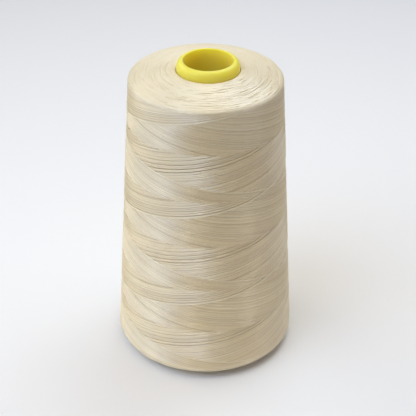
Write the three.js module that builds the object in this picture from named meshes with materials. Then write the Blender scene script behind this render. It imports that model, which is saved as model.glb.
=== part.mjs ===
// Cone of sewing thread: a cross-wound package of thread on a tapered plastic core.
// Millimetres, +Z up. The origin is the middle of the package, on the surface that the core's foot stands on.
// Angles run in turns round +Z: 0 faces -Y, and a quarter turn faces +X.
import * as THREE from 'three';

// Core: a tapered tube with a rounded rim, standing on its wide foot
const CORE_HEIGHT = 115;
const CORE_FOOT_RADIUS = 17.8;
const CORE_RIM_RADIUS = 10.9;
const CORE_WALL = 2.2;
const CORE_RIM_OUTER_ROUND = 2.0;
const CORE_RIM_ROUND_STRETCH = 1.5;
const CORE_RIM_INNER_ROUND = 0.2;
const CORE_FOOT_CHAMFER = 0.4;
const CORE_OFF_MIDDLE = 0.76;

// Package: a cone of thread whose end faces slope a little from the core to the edge
const PACKAGE_BASE_HEIGHT = 3.2;
const PACKAGE_SHOULDER_HEIGHT = 109.2;
const PACKAGE_BASE_RADIUS = 33.35;
const PACKAGE_SHOULDER_RADIUS = 27.05;
const PACKAGE_BASE_ROUND = 1.2;
const PACKAGE_SHOULDER_ROUND = 1.6;
const TOP_FACE_RISE = 2.45;
const TOP_FACE_CROWN = 1.6;
const UNDERSIDE_DROP = 1.5;
const LIP_ROUND = 0.7;
const CORE_CLEARANCE = 0.32;

// Winding: the thread climbs and falls in two families of turns that cross each other.
// An edge height is where a family's newest turn passes the front.
const LEAD = 35.91;
const RISING_EDGE_HEIGHT = 70.15;
const FALLING_EDGE_HEIGHT = 80.44;
const LAYER_RELIEF = 0.12;
const LAYER_RAMP = 0.06;
const RELIEF_FADE = 3.5;

// Steps of the meshes
const CORE_SIDES = 64;
const PACKAGE_SIDES = 72;
const SIDE_ROWS = 45;
const TOP_ROWS = 6;
const UNDERSIDE_ROWS = 4;
const ROUND_STEPS = 4;

const coreMaterial = new THREE.MeshStandardMaterial({ color: 0xdccb3c, roughness: 0.38, metalness: 0 });
const threadMaterial = new THREE.MeshStandardMaterial({ color: 0xe6dcc0, roughness: 0.75, metalness: 0 });

const fraction = (value) => value - Math.floor(value);

const mix = (from, to, share) => from + (to - from) * share;

const coreRadius = (height) => mix(CORE_FOOT_RADIUS, CORE_RIM_RADIUS, height / CORE_HEIGHT);

const boreRadius = (height) => coreRadius(height) - CORE_WALL;

const holeRadius = (height) => coreRadius(height) + CORE_CLEARANCE;

// Points of a round, from one direction to another in degrees, about a centre in the profile's plane.
// A stretched round is that many times as high as it is wide.
function roundPoints(centreRadius, centreHeight, round, fromDegrees, toDegrees, stretch = 1) {
  const points = [];
  for (let step = 0; step <= ROUND_STEPS; step += 1) {
    const angle = THREE.MathUtils.degToRad(mix(fromDegrees, toDegrees, step / ROUND_STEPS));
    points.push({
      radius: centreRadius + round * Math.cos(angle),
      height: centreHeight + round * stretch * Math.sin(angle),
    });
  }
  return points;
}

// A closed profile of sections turned about +Z, its first section repeated as its last
function turnProfile(sections, sides) {
  const points = sections.map((section) => new THREE.Vector2(section.radius, section.height));
  points.push(points[0].clone());
  return new THREE.LatheGeometry(points, sides).rotateX(Math.PI / 2);
}

// Core: up the outside, over the rim, down the bore and back across the foot
function coreSections() {
  const outerRoundHeight = CORE_HEIGHT - CORE_RIM_OUTER_ROUND * CORE_RIM_ROUND_STRETCH;
  const outerRoundRadius = coreRadius(outerRoundHeight) - CORE_RIM_OUTER_ROUND;
  const innerRoundHeight = CORE_HEIGHT - CORE_RIM_INNER_ROUND;
  const chamfer = CORE_FOOT_CHAMFER;
  return [
    { radius: coreRadius(0) - chamfer, height: 0 },
    { radius: coreRadius(chamfer), height: chamfer },
    ...roundPoints(outerRoundRadius, outerRoundHeight, CORE_RIM_OUTER_ROUND, 0, 90, CORE_RIM_ROUND_STRETCH),
    ...roundPoints(boreRadius(CORE_HEIGHT) + CORE_RIM_INNER_ROUND, innerRoundHeight,
      CORE_RIM_INNER_ROUND, 90, 180).slice(1),
    { radius: boreRadius(chamfer), height: chamfer },
    { radius: boreRadius(0) + chamfer, height: 0 },
  ];
}

function buildCore() {
  const core = new THREE.Mesh(turnProfile(coreSections(), CORE_SIDES), coreMaterial);
  core.name = 'core';
  core.position.x = CORE_OFF_MIDDLE;
  return core;
}

// Package: one section per row, in order up the side, in over the top, down the hole and out underneath.
// offMiddle moves a section from the package's middle (0) to the core's (1);
// relief is how much of the winding's relief the section carries.
function sideSections() {
  const low = PACKAGE_BASE_HEIGHT + PACKAGE_BASE_ROUND;
  const high = PACKAGE_SHOULDER_HEIGHT - PACKAGE_SHOULDER_ROUND;
  const baseRound = roundPoints(PACKAGE_BASE_RADIUS - PACKAGE_BASE_ROUND, low, PACKAGE_BASE_ROUND, -90, 0);
  const shoulderRound = roundPoints(PACKAGE_SHOULDER_RADIUS - PACKAGE_SHOULDER_ROUND, high,
    PACKAGE_SHOULDER_ROUND, 0, 80);
  const side = [];
  for (let row = 1; row < SIDE_ROWS; row += 1) {
    const share = row / SIDE_ROWS;
    side.push({
      radius: mix(PACKAGE_BASE_RADIUS, PACKAGE_SHOULDER_RADIUS, share),
      height: mix(low, high, share),
    });
  }
  return [...baseRound, ...side, ...shoulderRound].map(({ radius, height }) => {
    const fromEnd = Math.min(height - PACKAGE_BASE_HEIGHT, PACKAGE_SHOULDER_HEIGHT - height);
    return { radius, height, offMiddle: 0, relief: THREE.MathUtils.smoothstep(fromEnd, 0, RELIEF_FADE) };
  });
}

function topSections() {
  const topHeight = PACKAGE_SHOULDER_HEIGHT + TOP_FACE_RISE;
  const outerRadius = PACKAGE_SHOULDER_RADIUS - PACKAGE_SHOULDER_ROUND;
  const innerRadius = holeRadius(topHeight) + LIP_ROUND;
  const sections = [];
  for (let row = 1; row <= TOP_ROWS; row += 1) {
    const inward = row / TOP_ROWS;
    const rise = TOP_FACE_RISE * (1 - (1 - inward) ** TOP_FACE_CROWN);
    sections.push({
      radius: mix(outerRadius, innerRadius, inward),
      height: PACKAGE_SHOULDER_HEIGHT + rise,
      offMiddle: inward,
      relief: 0,
    });
  }
  return sections;
}

function undersideSections() {
  const innerHeight = PACKAGE_BASE_HEIGHT - UNDERSIDE_DROP;
  const outerRadius = PACKAGE_BASE_RADIUS - PACKAGE_BASE_ROUND;
  const innerRadius = holeRadius(innerHeight) + LIP_ROUND;
  const sections = [];
  for (let row = 0; row < UNDERSIDE_ROWS; row += 1) {
    const outward = row / UNDERSIDE_ROWS;
    sections.push({
      radius: mix(innerRadius, outerRadius, outward),
      height: mix(innerHeight, PACKAGE_BASE_HEIGHT, outward),
      offMiddle: 1 - outward,
      relief: 0,
    });
  }
  return sections;
}

function holeSections() {
  const upper = PACKAGE_SHOULDER_HEIGHT + TOP_FACE_RISE - LIP_ROUND;
  const lower = PACKAGE_BASE_HEIGHT - UNDERSIDE_DROP + LIP_ROUND;
  return [upper, lower].map((height) => ({ radius: holeRadius(height), height, offMiddle: 1, relief: 0 }));
}

// A family's layer stands highest just past its newest turn and sinks until the next lead's edge
function layerHeight(age) {
  return Math.min(age / LAYER_RAMP, 1) * (1 - age);
}

// The rising family ages upwards from its newest turn, the falling one downwards.
// The result is about 0 on average, so the package keeps its radius.
function windingRelief(turn, height) {
  const risingAge = fraction((height - RISING_EDGE_HEIGHT) / LEAD - turn);
  const fallingAge = fraction((FALLING_EDGE_HEIGHT - height) / LEAD - turn);
  return LAYER_RELIEF * (layerHeight(risingAge) + layerHeight(fallingAge) - 1);
}

function buildThreadPackage() {
  const sections = [...sideSections(), ...topSections(), ...holeSections(), ...undersideSections()];
  const geometry = turnProfile(sections, PACKAGE_SIDES);
  const position = geometry.attributes.position;
  const rowCount = sections.length + 1;
  for (let index = 0; index < position.count; index += 1) {
    const section = sections[(index % rowCount) % sections.length];
    const turn = (Math.floor(index / rowCount) % PACKAGE_SIDES) / PACKAGE_SIDES;
    const radius = section.radius + section.relief * windingRelief(turn, section.height);
    position.setXY(
      index,
      section.offMiddle * CORE_OFF_MIDDLE + radius * Math.sin(turn * 2 * Math.PI),
      -radius * Math.cos(turn * 2 * Math.PI),
    );
  }
  geometry.computeVertexNormals();
  const threadPackage = new THREE.Mesh(geometry, threadMaterial);
  threadPackage.name = 'thread_package';
  return threadPackage;
}

const coneOfThread = new THREE.Group();
coneOfThread.add(buildCore(), buildThreadPackage());

export default coneOfThread;
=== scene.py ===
"""Cone of sewing thread, cross-wound on a tapered yellow core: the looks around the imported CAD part.

Lengths are in millimetres until a mesh is made, and angles round the cone in turns: 0 faces -Y and a quarter
turn faces +X. The thread lies as a winder lays it: it falls and rises in legs of three turns, each double
traverse lies one pitch beside the one before, and a newer leg covers the older ones that it crosses.
"""

import math

import bpy
import numpy as np
from mathutils import Matrix, Vector


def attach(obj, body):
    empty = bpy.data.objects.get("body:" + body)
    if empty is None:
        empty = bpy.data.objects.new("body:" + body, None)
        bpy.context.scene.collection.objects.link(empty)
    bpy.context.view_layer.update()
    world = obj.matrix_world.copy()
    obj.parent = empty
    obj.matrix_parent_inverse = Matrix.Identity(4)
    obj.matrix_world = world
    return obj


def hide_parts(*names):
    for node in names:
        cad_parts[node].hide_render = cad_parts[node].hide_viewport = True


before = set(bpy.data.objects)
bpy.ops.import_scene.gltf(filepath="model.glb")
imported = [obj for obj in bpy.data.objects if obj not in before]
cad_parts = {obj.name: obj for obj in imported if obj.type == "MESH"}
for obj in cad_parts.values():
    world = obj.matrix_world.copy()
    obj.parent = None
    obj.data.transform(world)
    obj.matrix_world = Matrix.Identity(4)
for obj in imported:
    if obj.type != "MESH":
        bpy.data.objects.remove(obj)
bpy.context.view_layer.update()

MM = 0.001
TAU = 2 * math.pi
rng = np.random.default_rng(2718)

# Core, as in the CAD part
CORE_HEIGHT = 115.0
CORE_FOOT_RADIUS = 17.8
CORE_RIM_RADIUS = 10.9
CORE_WALL = 2.2
CORE_RIM_OUTER_ROUND = 2.0
CORE_RIM_ROUND_STRETCH = 1.5
CORE_RIM_INNER_ROUND = 0.2
CORE_FOOT_CHAMFER = 0.4
CORE_OFF_MIDDLE = 0.76

# Package, as in the CAD part
PACKAGE_BASE_HEIGHT = 3.2
PACKAGE_SHOULDER_HEIGHT = 109.2
PACKAGE_BASE_RADIUS = 33.35
PACKAGE_SHOULDER_RADIUS = 27.05
PACKAGE_BASE_ROUND = 1.2
PACKAGE_SHOULDER_ROUND = 1.6
TOP_FACE_RISE = 2.45
TOP_FACE_CROWN = 1.6
UNDERSIDE_DROP = 1.5
SHOULDER_ROUND_DEGREES = 80
SIDE_LOW = PACKAGE_BASE_HEIGHT + PACKAGE_BASE_ROUND
SIDE_HIGH = PACKAGE_SHOULDER_HEIGHT - PACKAGE_SHOULDER_ROUND

# How the package meets the core, closer than in the CAD part, because the real thread grips it
LIP_DEPTH = 0.4
CORE_TOUCH = 0.1

# Steps of the meshes. The side is the only stretch of the package's outline longer than SHORTEST_SIDE.
CORE_SIDES = 128
CORE_ROWS = 24
CORE_ROW_MARGIN = 0.6
CORE_FOOT_STEPS = 4
CORE_OUTER_RIM_STEPS = 14
CORE_INNER_RIM_STEPS = 6
SHORTEST_SIDE = 50
NORMAL_SAMPLES = 1200
TOP_ROWS = 20
UNDERSIDE_ROWS = 16
LIP_STEPS = 5
EDGE_STEPS = 9

# Winding law: where the newest leg reverses at the top, and how far the thread runs in a turn and a traverse
LEAD = 35.91
TRAVERSE_TURNS = 3
TOP_REVERSAL_HEIGHT = 111.2
BASE_REVERSAL_HEIGHT = TOP_REVERSAL_HEIGHT - TRAVERSE_TURNS * LEAD
TOP_REVERSAL_TURNS = 0.078
BASE_REVERSAL_TURNS = 0.037
NEWEST_REVERSAL = 0.1433
LAYER_RELIEF = 0.12
LAYER_RAMP = 0.06
RELIEF_FADE = 3.5

# Thread
LOOPS = 112
THREAD_HALF_WIDTH = 0.165
THREAD_HALF_HEIGHT = 0.165
STEP = 1 / 72
LEAST_STEP = 0.2 * STEP
TUCK_TURNS = 0.005
TUCK_DEPTH = 0.28
LIFT_FADE = (-4, 14)
REVERSAL_SPREAD = 0.0006
SECTION_DEGREES = (270, 350, 40, 90, 140, 190)
# The laid thread's dark tone is reached mostly by the lines, whose darkening is painted shade
LAID_COLOURS = ((0.540, 0.380, 0.135), (0.798, 0.643, 0.312), (0.855, 0.735, 0.430))
# The ends' colours are paler and whiter than the laid thread's: a painted sheen for the whiter look of the
# top face
END_COLOURS = ((0.750, 0.635, 0.385), (0.832, 0.738, 0.525), (0.882, 0.820, 0.645))
LAID_GLOSS = 2.5
END_GLOSS = 1.7
TONE_STOPS = (0.30, 0.70, 1.00)
MOTTLE_STRENGTH = 0.35
MIDDLE_TONE = 0.5

# Bunches of laid thread: the last thread of each sinks into a line and is darkened with painted shade. A
# family is its piece's name, its direction (1 falls, -1 rises) and how bunched it is, which sets how far its
# lines sink and how dark their painted shade is.
FAMILIES = (("thread_falling", 1, 0.35), ("thread_rising", -1, 0.75))
BUNCH_SIZES = (3, 4, 4, 5)
FIRST_LINE = 2
LINE_STRENGTH = (0.4, 1.5)
BUNCH_LIFT = 0.035
LINE_SINK = 0.195
LINE_SHADE_DROP = 0.60
LIFT_SPREAD = 0.010
LOW_CHANCE = 0.03
LOW_LIFT = -0.12
HIGH_CHANCE = 0.05
HIGH_LIFT = 0.08
LAID_TONE_SPREAD = 0.10
LAID_TONE_RANGE = (0.05, 0.9)
NEWEST_LIFT = 0.04
# The newest thread's tone is the lightest: a painted highlight along the newest edge
NEWEST_HIGHLIGHT_TONE = 1.0

# Turns on the end faces: short arcs that drift and bow by millimetres, and dip at both ends
TOP_TURNS = 2350
UNDERSIDE_TURNS = 1000
END_STEPS = 7
END_HALF_SPAN = (0.022, 0.060)
END_DRIFT = 0.10
END_BOW = 0.1
END_LIFT_RANGE = (-0.02, 0.01)
END_DIP = 0.20
END_TONE_SPREAD = 0.06
END_TONE_RANGE = (0.1, 0.9)
END_MARGIN = 0.2
TOP_OVER_SIDE = 0.1
UNDER_SHORT_OF_SIDE = 0.4
SHOULDER_LIFT = 0.06
SHOULDER_LIFT_REACH = 1.6
SHOULDER_LIFT_MIDDLE = 0.4

# Older layers under the visible thread, their depth in half heights of a thread, and their tone, darkened as
# painted shade where they show between the turns, most on the side
BODY_ROWS = 64
BODY_COLUMNS = 144
BODY_DEPTH = 1.6
BODY_SIDE_EXTRA_DEPTH = 0.7
BODY_SHADE_TONE = 0.45
BODY_SIDE_SHADE_DROP = 0.35
BODY_FADE = 0.6
NEAR_SIDE = 0.01

FLOOR_HALF_WIDTH = 3000


# ---------------------------------------------------------------- materials


def node_material(name):
    """A material with its node tree, the tree's nodes and links, and its principled shader."""
    material = bpy.data.materials.new(name)
    material.use_nodes = True
    nodes, links = material.node_tree.nodes, material.node_tree.links
    return material, nodes, links, nodes["Principled BSDF"]


def colour_ramp(nodes, stops):
    """A colour ramp node with the given (position, colour) stops."""
    stops = list(stops)
    ramp = nodes.new("ShaderNodeValToRGB")
    elements = ramp.color_ramp.elements
    while len(elements) < len(stops):
        elements.new(0.5)
    for element, (position, colour) in zip(elements, stops):
        element.position = position
        element.color = (*colour, 1)
    return ramp


def thread_material(name, gloss, colours):
    """Cream thread: tone varies from turn to turn at random, and carries painted shade on the lines and gaps
    and a painted highlight on the newest thread, with the ply twist as fine bump.

    gloss is its index of refraction, and the colours are its dark, middle and light tones.
    """
    material, nodes, links, shader = node_material(name)
    tone = nodes.new("ShaderNodeAttribute")
    tone.attribute_name = "tone"
    place = nodes.new("ShaderNodeTexCoord")
    mottle = nodes.new("ShaderNodeTexNoise")
    mottle.inputs["Scale"].default_value = 70
    mottle.inputs["Detail"].default_value = 3
    links.new(place.outputs["Object"], mottle.inputs["Vector"])
    blend = nodes.new("ShaderNodeMath")
    blend.operation = "MULTIPLY_ADD"
    blend.inputs[1].default_value = MOTTLE_STRENGTH
    links.new(mottle.outputs["Fac"], blend.inputs[0])
    links.new(tone.outputs["Fac"], blend.inputs[2])
    ramp = colour_ramp(nodes, zip(TONE_STOPS, colours))
    links.new(blend.outputs[0], ramp.inputs["Fac"])
    links.new(ramp.outputs["Color"], shader.inputs["Base Color"])

    uv = nodes.new("ShaderNodeUVMap")
    uv.uv_map = "along"
    twist = nodes.new("ShaderNodeTexWave")
    twist.wave_type = "BANDS"
    twist.bands_direction = "DIAGONAL"
    twist.inputs["Scale"].default_value = 0.55
    twist.inputs["Distortion"].default_value = 1.2
    twist.inputs["Detail"].default_value = 1
    links.new(uv.outputs["UV"], twist.inputs["Vector"])
    bump = nodes.new("ShaderNodeBump")
    bump.inputs["Strength"].default_value = 0.5
    bump.inputs["Distance"].default_value = 0.00002
    links.new(twist.outputs["Fac"], bump.inputs["Height"])
    links.new(bump.outputs["Normal"], shader.inputs["Normal"])

    shader.inputs["Roughness"].default_value = 0.32
    shader.inputs["IOR"].default_value = gloss
    shader.inputs["Specular IOR Level"].default_value = 1.0
    shader.inputs["Sheen Weight"].default_value = 0.15
    shader.inputs["Sheen Roughness"].default_value = 0.4
    return material


def core_material():
    """Moulded yellow plastic that lets some light through."""
    material, nodes, links, shader = node_material("yellow_plastic")
    place = nodes.new("ShaderNodeTexCoord")
    cloud = nodes.new("ShaderNodeTexNoise")
    cloud.inputs["Scale"].default_value = 90
    cloud.inputs["Detail"].default_value = 4
    links.new(place.outputs["Object"], cloud.inputs["Vector"])
    ramp = colour_ramp(nodes, [
        (0.3, (0.985, 0.765, 0.100)),
        (0.7, (0.995, 0.795, 0.130)),
    ])
    links.new(cloud.outputs["Fac"], ramp.inputs["Fac"])
    links.new(ramp.outputs["Color"], shader.inputs["Base Color"])
    grain = nodes.new("ShaderNodeTexNoise")
    grain.inputs["Scale"].default_value = 900
    links.new(place.outputs["Object"], grain.inputs["Vector"])
    bump = nodes.new("ShaderNodeBump")
    bump.inputs["Strength"].default_value = 0.15
    bump.inputs["Distance"].default_value = 0.00005
    links.new(grain.outputs["Fac"], bump.inputs["Height"])
    links.new(bump.outputs["Normal"], shader.inputs["Normal"])
    shader.inputs["Roughness"].default_value = 0.38
    shader.inputs["Subsurface Weight"].default_value = 1.0
    shader.inputs["Subsurface Radius"].default_value = (1.0, 0.85, 0.20)
    shader.inputs["Subsurface Scale"].default_value = 0.004
    return material


def floor_material():
    """Plain pale studio floor."""
    material, _, _, shader = node_material("pale_floor")
    shader.inputs["Base Color"].default_value = (0.90, 0.90, 0.90, 1)
    shader.inputs["Roughness"].default_value = 0.8
    shader.inputs["Specular IOR Level"].default_value = 0.2
    return material


# ---------------------------------------------------------------- meshes


def quad_mesh(name, points, quads, material, uvs=None, tones=MIDDLE_TONE):
    """A smooth mesh of quads, from points in millimetres, with optional UVs for each point and tones."""
    mesh = bpy.data.meshes.new(name)
    mesh.vertices.add(len(points))
    mesh.vertices.foreach_set("co", (np.asarray(points) * MM).ravel())
    quads = np.asarray(quads, dtype=np.int32)
    mesh.loops.add(quads.size)
    mesh.loops.foreach_set("vertex_index", quads.ravel())
    mesh.polygons.add(len(quads))
    mesh.polygons.foreach_set("loop_start", np.arange(0, quads.size, 4, dtype=np.int32))
    mesh.polygons.foreach_set("use_smooth", np.ones(len(quads), dtype=bool))
    if uvs is not None:
        layer = mesh.uv_layers.new(name="along")
        layer.data.foreach_set("uv", np.asarray(uvs, dtype=np.float32)[quads.ravel()].ravel())
    tone = mesh.attributes.new("tone", "FLOAT", "POINT")
    tone.data.foreach_set("value", np.array(np.broadcast_to(tones, len(points)), dtype=np.float32))
    mesh.update(calc_edges=True)
    mesh.validate()
    mesh.materials.append(material)
    piece = bpy.data.objects.new(name, mesh)
    bpy.context.scene.collection.objects.link(piece)
    return piece


def ring_quads(rows, columns):
    """Quads of a grid that wraps round both its rows and its columns."""
    row = np.arange(rows)[:, None]
    column = np.arange(columns)[None, :]
    next_row, next_column = (row + 1) % rows, (column + 1) % columns
    corners = (row * columns + column, row * columns + next_column,
               next_row * columns + next_column, next_row * columns + column)
    grids = [np.broadcast_to(corner, (rows, columns)) for corner in corners]
    return np.stack(grids, axis=-1).reshape(-1, 4)


def round_points(centre_radius, centre_height, round_radius, from_degrees, to_degrees, steps, stretch=1.0):
    """Radii and heights along a round of a profile, stretched to that many times as high as it is wide."""
    angle = np.radians(np.linspace(from_degrees, to_degrees, steps))
    return np.column_stack([centre_radius + round_radius * np.cos(angle),
                            centre_height + round_radius * stretch * np.sin(angle)])


# ---------------------------------------------------------------- core


def core_radius(height):
    """The core's outside radius at a height."""
    return CORE_FOOT_RADIUS + (CORE_RIM_RADIUS - CORE_FOOT_RADIUS) * height / CORE_HEIGHT


def build_core(material):
    """The core: the CAD profile with finer rounds, turned smooth."""
    bore_rim = CORE_RIM_RADIUS - CORE_WALL
    chamfer = CORE_FOOT_CHAMFER
    outer_round_height = CORE_HEIGHT - CORE_RIM_OUTER_ROUND * CORE_RIM_ROUND_STRETCH
    heights = np.linspace(chamfer + CORE_ROW_MARGIN, outer_round_height - CORE_ROW_MARGIN, CORE_ROWS)
    outside = np.column_stack([core_radius(heights), heights])
    bore = np.column_stack([core_radius(heights[::-1]) - CORE_WALL, heights[::-1]])
    foot_outer, foot_inner = core_radius(0), core_radius(0) - CORE_WALL
    profile = np.vstack([
        [[foot_outer - chamfer, 0]],
        round_points(core_radius(chamfer) - chamfer, chamfer, chamfer, -60, 0, CORE_FOOT_STEPS),
        outside,
        round_points(core_radius(outer_round_height) - CORE_RIM_OUTER_ROUND, outer_round_height,
                     CORE_RIM_OUTER_ROUND, 0, 90, CORE_OUTER_RIM_STEPS, CORE_RIM_ROUND_STRETCH),
        round_points(bore_rim + CORE_RIM_INNER_ROUND, CORE_HEIGHT - CORE_RIM_INNER_ROUND,
                     CORE_RIM_INNER_ROUND, 100, 180, CORE_INNER_RIM_STEPS),
        bore,
        round_points(foot_inner + chamfer, chamfer, chamfer, 180, 240, CORE_FOOT_STEPS),
        [[foot_inner + chamfer, 0]],
    ])
    turn = np.arange(CORE_SIDES) / CORE_SIDES * TAU
    radius, height = profile[:, :1], profile[:, 1:]
    points = np.stack([CORE_OFF_MIDDLE + radius * np.sin(turn), -radius * np.cos(turn),
                       np.broadcast_to(height, (len(profile), CORE_SIDES))], axis=-1).reshape(-1, 3)
    core = quad_mesh("core_cone", points, ring_quads(len(profile), CORE_SIDES), material)
    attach(core, "root")
    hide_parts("core")


# ---------------------------------------------------------------- package surface


def package_profile():
    """The package's outline from its inner edge underneath, round its side, to its inner edge on top."""
    top = PACKAGE_SHOULDER_HEIGHT + TOP_FACE_RISE
    under = PACKAGE_BASE_HEIGHT - UNDERSIDE_DROP
    inward = np.linspace(0, 1, TOP_ROWS)[1:]
    top_outer = PACKAGE_SHOULDER_RADIUS - PACKAGE_SHOULDER_ROUND
    top_inner = core_radius(top) + CORE_TOUCH + LIP_DEPTH
    under_inner = core_radius(under) + CORE_TOUCH + LIP_DEPTH
    under_outer = PACKAGE_BASE_RADIUS - PACKAGE_BASE_ROUND
    under_share = np.linspace(0, 1, UNDERSIDE_ROWS)[:-1]
    return np.vstack([
        round_points(under_inner, under + LIP_DEPTH, LIP_DEPTH, 180, 270, LIP_STEPS)[:-1],
        np.column_stack([under_inner + (under_outer - under_inner) * under_share,
                         under + UNDERSIDE_DROP * under_share]),
        round_points(under_outer, SIDE_LOW, PACKAGE_BASE_ROUND, -90, 0, EDGE_STEPS),
        round_points(top_outer, SIDE_HIGH, PACKAGE_SHOULDER_ROUND, 0, SHOULDER_ROUND_DEGREES, EDGE_STEPS),
        np.column_stack([top_outer + (top_inner - top_outer) * inward,
                         PACKAGE_SHOULDER_HEIGHT + TOP_FACE_RISE * (1 - (1 - inward) ** TOP_FACE_CROWN)]),
        round_points(top_inner, top - LIP_DEPTH, LIP_DEPTH, 90, 180, LIP_STEPS)[1:],
    ])


def smoothstep(low, high, value):
    """0 up to low, 1 from high on, and a smooth step between them."""
    share = np.clip((value - low) / (high - low), 0, 1)
    return share * share * (3 - 2 * share)


class Surface:
    """The package's surface, by the way along its outline (0 where the side starts) and the turn round it."""

    def __init__(self):
        outline = package_profile()
        lengths = np.hypot(*np.diff(outline, axis=0).T)
        way = np.concatenate([[0], np.cumsum(lengths)])
        start = int(np.argmax(lengths > SHORTEST_SIDE))
        self.side_length = lengths[start]
        self.way = way - way[start]
        self.radius, self.height = outline.T
        fine = np.linspace(self.way[0], self.way[-1], NORMAL_SAMPLES)
        radius, height = np.interp(fine, self.way, self.radius), np.interp(fine, self.way, self.height)
        slope_r, slope_h = np.gradient(radius, fine), np.gradient(height, fine)
        length = np.hypot(slope_r, slope_h)
        self.fine, self.normal_r, self.normal_h = fine, slope_h / length, -slope_r / length
        self.first, self.last = self.way[0], self.way[-1]
        self.base_edge = -PACKAGE_BASE_ROUND * math.pi / 2
        self.shoulder_edge = self.side_length + PACKAGE_SHOULDER_ROUND * math.radians(SHOULDER_ROUND_DEGREES)

    def way_at(self, height):
        """The way to a height on the side, running on past the side's ends."""
        return (height - SIDE_LOW) / (SIDE_HIGH - SIDE_LOW) * self.side_length

    def off_middle(self, way):
        """How far the ring at this way has moved from the package's middle to the core's."""
        top = smoothstep(self.shoulder_edge, self.last, way)
        under = smoothstep(self.base_edge, self.first, way)
        return CORE_OFF_MIDDLE * (top + under)

    def at(self, way, turn, lift):
        """Points and outward normals, lift millimetres off the surface."""
        radius, height = np.interp(way, self.way, self.radius), np.interp(way, self.way, self.height)
        normal_r = np.interp(way, self.fine, self.normal_r)
        normal_h = np.interp(way, self.fine, self.normal_h)
        east, south = np.sin(turn * TAU), -np.cos(turn * TAU)
        radius = radius + lift * normal_r
        points = np.stack([self.off_middle(way) + radius * east, radius * south,
                           height + lift * normal_h], axis=-1)
        normals = np.stack([normal_r * east, normal_r * south, normal_h], axis=-1)
        return points, normals


surface = Surface()


# ---------------------------------------------------------------- strands


class Strands:
    """Gathers lengths of thread, each a closed six-sided tube, into one mesh."""

    def __init__(self):
        self.points, self.quads, self.uvs, self.tones = [], [], [], []
        self.count = 0
        angle = np.radians(SECTION_DEGREES)
        self.across, self.out = np.cos(angle), np.sin(angle)

    def add(self, way, turn, lift, tone):
        """A length of thread along the given ways and turns, its middle lift millimetres off the surface."""
        centre, normal = surface.at(way, turn, lift)
        tangent = np.gradient(centre, axis=0)
        side = np.cross(tangent, normal)
        side /= np.linalg.norm(side, axis=1, keepdims=True)
        rings = (centre[:, None] + THREAD_HALF_WIDTH * self.across[None, :, None] * side[:, None]
                 + THREAD_HALF_HEIGHT * self.out[None, :, None] * normal[:, None])
        rows, sides = len(way), len(SECTION_DEGREES)
        row, column = np.arange(rows - 1)[:, None], np.arange(sides)[None, :]
        after = (column + 1) % sides
        quads = np.stack(np.broadcast_arrays(row * sides + column, (row + 1) * sides + column,
                                             (row + 1) * sides + after, row * sides + after), axis=-1)
        last = (rows - 1) * sides
        caps = [[0, 1, 2, 3], [0, 3, 4, 5],
                [last + 3, last + 2, last + 1, last], [last + 5, last + 4, last + 3, last]]
        length = np.concatenate([[0], np.cumsum(np.linalg.norm(np.diff(centre, axis=0), axis=1))])
        length += rng.uniform(0, 10)
        uv = np.stack(np.broadcast_arrays(length[:, None], np.arange(sides)[None, :] / sides), axis=-1)
        self.points.append(rings.reshape(-1, 3))
        self.quads.append(np.vstack([quads.reshape(-1, 4), caps]) + self.count)
        self.uvs.append(uv.reshape(-1, 2))
        self.tones.append(np.full(rows * sides, tone))
        self.count += rows * sides

    def piece(self, name, material):
        """The gathered strands as one piece on the part."""
        made = quad_mesh(name, np.vstack(self.points), np.vstack(self.quads), material,
                         np.vstack(self.uvs), np.concatenate(self.tones))
        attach(made, "root")
        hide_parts("thread_package")


# ---------------------------------------------------------------- winding


def leg_height(along):
    """Height of a leg's thread, along turns after the top reversal, with soft reversals at both ends.

    The law of the top reversal passes into the base reversal's over the middle turn.
    """
    from_top = TOP_REVERSAL_HEIGHT - LEAD * np.hypot(along, TOP_REVERSAL_TURNS)
    from_base = BASE_REVERSAL_HEIGHT + LEAD * np.hypot(TRAVERSE_TURNS - along, BASE_REVERSAL_TURNS)
    share = smoothstep(1, 2, along)
    return from_top * (1 - share) + from_base * share


def relief(age, other_age, height):
    """How far the winding stands off the package's mean surface where the two families have these ages."""
    from_end = np.minimum(height - PACKAGE_BASE_HEIGHT, PACKAGE_SHOULDER_HEIGHT - height)
    return LAYER_RELIEF * (1 - age - other_age) * smoothstep(0, RELIEF_FADE, from_end)


def stretch_turns(start, end):
    """Turns to step through from start to end: the ends, and the shared steps between them."""
    first = math.ceil((start + LEAST_STEP) / STEP)
    last = math.floor((end - LEAST_STEP) / STEP)
    return np.concatenate([[start], np.arange(first, last + 1) * STEP, [end]])


def bunch_lines():
    """How strong a line each loop's thread makes: 0, but for the last thread of each bunch."""
    lines = np.zeros(LOOPS)
    last = FIRST_LINE
    while last < LOOPS:
        lines[last] = rng.uniform(*LINE_STRENGTH)
        last += rng.choice(BUNCH_SIZES)
    return lines


def thread_lifts(lines, bunching):
    """How far each loop's thread stands off its layer: lines sink, and a few others lie low or high."""
    lifts = bunching * (BUNCH_LIFT - LINE_SINK * lines) + rng.normal(0, LIFT_SPREAD, LOOPS)
    chance = rng.random(LOOPS)
    lifts = np.where(chance < LOW_CHANCE, LOW_LIFT * bunching, lifts)
    lifts = np.where(chance > 1 - HIGH_CHANCE, HIGH_LIFT * bunching, lifts)
    lifts[0] = NEWEST_LIFT
    return lifts


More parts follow.
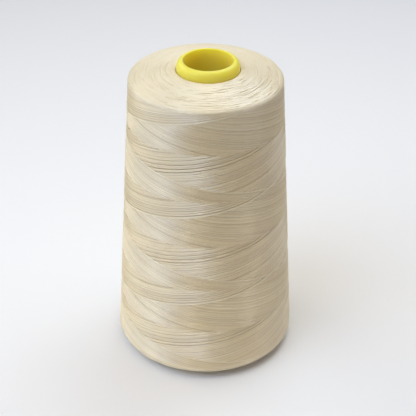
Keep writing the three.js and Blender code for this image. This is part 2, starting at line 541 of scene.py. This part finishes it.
def add_stretch(strands, reversal, direction, start, end, age, lift, tone):
    """One visible stretch of a leg, its ends tucked under its neighbours."""
    if direction > 0:
        turns = stretch_turns(reversal + start, reversal + end)
    else:
        turns = stretch_turns(reversal - end, reversal - start)[::-1]
    turns = np.concatenate([[turns[0] - direction * TUCK_TURNS], turns, [turns[-1] + direction * TUCK_TURNS]])
    along = direction * (turns - reversal)
    height = leg_height(along)
    other = (age - direction * 2 * along) % 1
    has_inner_turns = len(other) > 4
    other[:2] = other[2] if has_inner_turns else 0.5
    other[-2:] = other[-3] if has_inner_turns else 0.5
    from_end = np.minimum(height - PACKAGE_BASE_HEIGHT, PACKAGE_SHOULDER_HEIGHT - height)
    off = relief(age, other, height) - THREAD_HALF_HEIGHT + lift * smoothstep(*LIFT_FADE, from_end)
    off[[0, -1]] -= TUCK_DEPTH
    strands.add(surface.way_at(height), turns, off, tone)


def build_side(material):
    """The two families of legs on the side, each cut back to where its thread lies uppermost."""
    for name, direction, bunching in FAMILIES:
        strands = Strands()
        lines = bunch_lines()
        lifts = thread_lifts(lines, bunching)
        # Each line's thread gets a darker tone: painted shade in the gap where it sinks
        tones = rng.normal(MIDDLE_TONE, LAID_TONE_SPREAD, LOOPS) - LINE_SHADE_DROP * bunching * lines
        tones = np.clip(tones, *LAID_TONE_RANGE)
        # Painted highlight: the newest thread gets the lightest tone
        tones[0] = NEWEST_HIGHLIGHT_TONE
        for loop in range(LOOPS):
            age = (loop + 0.5) / LOOPS
            reversal = NEWEST_REVERSAL - age + rng.normal(0, REVERSAL_SPREAD)
            for half_turn in range(2 * TRAVERSE_TURNS):
                if direction > 0:
                    start, end = (half_turn + age) / 2, (half_turn + 1) / 2
                else:
                    start, end = half_turn / 2, (half_turn + 1 - age) / 2
                add_stretch(strands, reversal, direction, start, end, age, lifts[loop], tones[loop])
        strands.piece(name, material)


def build_end_turns(name, count, low, high, material):
    """The short arcs in which the thread reverses, over an end face and the round beside it."""
    strands = Strands()
    for way in rng.uniform(low, high, count):
        half_span = rng.uniform(*END_HALF_SPAN)
        share = np.linspace(-1, 1, END_STEPS)
        turn = rng.random() + half_span * share
        drift = rng.uniform(-END_DRIFT, END_DRIFT)
        bow = rng.uniform(0, END_BOW)
        off_shoulder = abs(way - surface.side_length - SHOULDER_LIFT_MIDDLE)
        shoulder = SHOULDER_LIFT * smoothstep(SHOULDER_LIFT_REACH, 0, off_shoulder)
        lift = -THREAD_HALF_HEIGHT + rng.uniform(*END_LIFT_RANGE) + shoulder - END_DIP * share**4
        way_along = np.clip(way + drift * share - bow * share**2, surface.first, surface.last)
        strands.add(way_along, turn, lift, np.clip(rng.normal(MIDDLE_TONE, END_TONE_SPREAD), *END_TONE_RANGE))
    strands.piece(name, material)


def build_body(material):
    """The older layers under the visible thread, which close the gaps between its turns, their tone darkened
    as painted shade in those gaps, most on the side.
    """
    side = np.linspace(0, surface.side_length, BODY_ROWS)
    # The outline's own points beyond the two ends of the side
    under = surface.way[surface.way < -NEAR_SIDE]
    over = surface.way[surface.way > surface.side_length + NEAR_SIDE]
    way = np.concatenate([under, side, over])
    turn = np.arange(BODY_COLUMNS) / BODY_COLUMNS
    way_grid, turn_grid = np.meshgrid(way, turn, indexing="ij")
    height = np.interp(way_grid, surface.way, surface.height)
    fall = ((TOP_REVERSAL_HEIGHT - height) / LEAD + NEWEST_REVERSAL - turn_grid) % 1
    rise = ((height - TOP_REVERSAL_HEIGHT) / LEAD + NEWEST_REVERSAL - turn_grid) % 1
    fall = 1 - np.minimum(fall / LAYER_RAMP, 1) * (1 - fall)
    rise = 1 - np.minimum(rise / LAYER_RAMP, 1) * (1 - rise)
    from_base, from_shoulder = way_grid, surface.side_length - way_grid
    on_side = smoothstep(-BODY_FADE, BODY_FADE, from_base) * smoothstep(-BODY_FADE, BODY_FADE, from_shoulder)
    depth = (BODY_DEPTH + BODY_SIDE_EXTRA_DEPTH * on_side) * THREAD_HALF_HEIGHT
    lift = relief(fall, rise, height) - depth
    # Painted shade: the layers seen in the gaps get a darker tone, darkest on the side
    tones = BODY_SHADE_TONE - BODY_SIDE_SHADE_DROP * on_side
    points, _ = surface.at(way_grid, turn_grid, lift)
    quads = ring_quads(len(points), BODY_COLUMNS)
    body = quad_mesh("thread_body", points.reshape(-1, 3), quads, material, tones=tones.ravel())
    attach(body, "root")
    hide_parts("thread_package")


# ---------------------------------------------------------------- stage


def area_light(name, azimuth, elevation, distance, watts, colour, size=0.5, spread=180, height=0.05):
    """A soft round light that looks at the cone's axis from a direction in degrees: azimuth 0 is in front."""
    lamp = bpy.data.lights.new(name, "AREA")
    lamp.shape = "DISK"
    lamp.size = size
    lamp.spread = math.radians(spread)
    lamp.energy = watts
    lamp.color = colour
    light = bpy.data.objects.new(name, lamp)
    turned, raised = math.radians(azimuth), math.radians(elevation)
    toward = Vector((math.sin(turned) * math.cos(raised), -math.cos(turned) * math.cos(raised),
                     math.sin(raised)))
    light.location = Vector((0, 0, height)) + distance * toward
    light.rotation_euler = (-toward).to_track_quat("-Z", "Y").to_euler()
    bpy.context.scene.collection.objects.link(light)


def build_stage():
    """A plain pale floor under a dim, even surround, with soft lights round the cone."""
    reach = FLOOR_HALF_WIDTH
    corners = [[-reach, -reach, 0], [reach, -reach, 0], [reach, reach, 0], [-reach, reach, 0]]
    floor = quad_mesh("floor", corners, [[0, 1, 2, 3]], floor_material())

    world = bpy.data.worlds.new("surround")
    world.use_nodes = True
    background = world.node_tree.nodes["Background"]
    background.inputs["Color"].default_value = (1.0, 0.85, 0.85, 1)
    background.inputs["Strength"].default_value = 0.20
    bpy.context.scene.world = world

    # Each light: azimuth and elevation in degrees, distance in metres, watts and colour
    area_light("left_behind", -120, 25, 0.90, 1.42, (1.0, 0.96, 0.87))
    area_light("left", -90, 25, 0.90, 1.22, (0.73, 0.85, 1.0))
    area_light("left_ahead", -60, 25, 0.90, 0.52, (1.0, 0.94, 0.82))
    area_light("right", 110, 55, 0.68, 0.75, (0.89, 0.95, 1.0))
    area_light("back", 155, 55, 0.68, 1.49, (0.74, 0.86, 1.0))
    area_light("front_pool", -50, 55, 0.68, 0.47, (0.53, 0.66, 0.88), spread=80, height=0)
    area_light("top_pool", 0, 88, 0.68, 0.271, (1.0, 0.85, 0.52), spread=80, height=0)
    area_light("foot_left", -60, 5, 0.5, 0.0027, (1.0, 0.95, 0.85), size=0.16, spread=14, height=0.005)
    area_light("foot", -15, 5, 0.5, 0.0048, (1.0, 0.90, 0.75), size=0.16, spread=14, height=0.005)
    area_light("foot_right", 60, 5, 0.5, 0.0032, (1.0, 0.90, 0.75), size=0.16, spread=14, height=0.005)
    bpy.context.scene.view_settings.view_transform = "Standard"


def build_camera():
    """The camera, by its place and its pitch, yaw and roll."""
    place = (0, -0.3530, 0.2840)
    pitch, yaw, roll = math.radians(33.03), math.radians(0.16), math.radians(0.33)
    ahead = Vector((math.sin(yaw) * math.cos(pitch), math.cos(yaw) * math.cos(pitch), -math.sin(pitch)))
    level = ahead.cross(Vector((0, 0, 1))).normalized()
    upward = level.cross(ahead)
    right = level * math.cos(roll) + upward * math.sin(roll)
    up = upward * math.cos(roll) - level * math.sin(roll)
    camera = bpy.data.objects.new("camera", bpy.data.cameras.new("camera"))
    camera.matrix_world = Matrix.Translation(place) @ Matrix((right, up, -ahead)).transposed().to_4x4()
    camera.data.sensor_width = 36
    camera.data.lens = 98.2
    bpy.context.scene.collection.objects.link(camera)
    bpy.context.scene.camera = camera


build_camera()
build_stage()
laid_thread = thread_material("cream_thread", LAID_GLOSS, LAID_COLOURS)
end_thread = thread_material("cream_thread_ends", END_GLOSS, END_COLOURS)
build_core(core_material())
build_body(end_thread)
build_side(laid_thread)
build_end_turns("thread_top_turns", TOP_TURNS, surface.side_length - TOP_OVER_SIDE,
                surface.last - END_MARGIN, end_thread)
build_end_turns("thread_under_turns", UNDERSIDE_TURNS, surface.first + END_MARGIN,
                -UNDER_SHORT_OF_SIDE, end_thread)
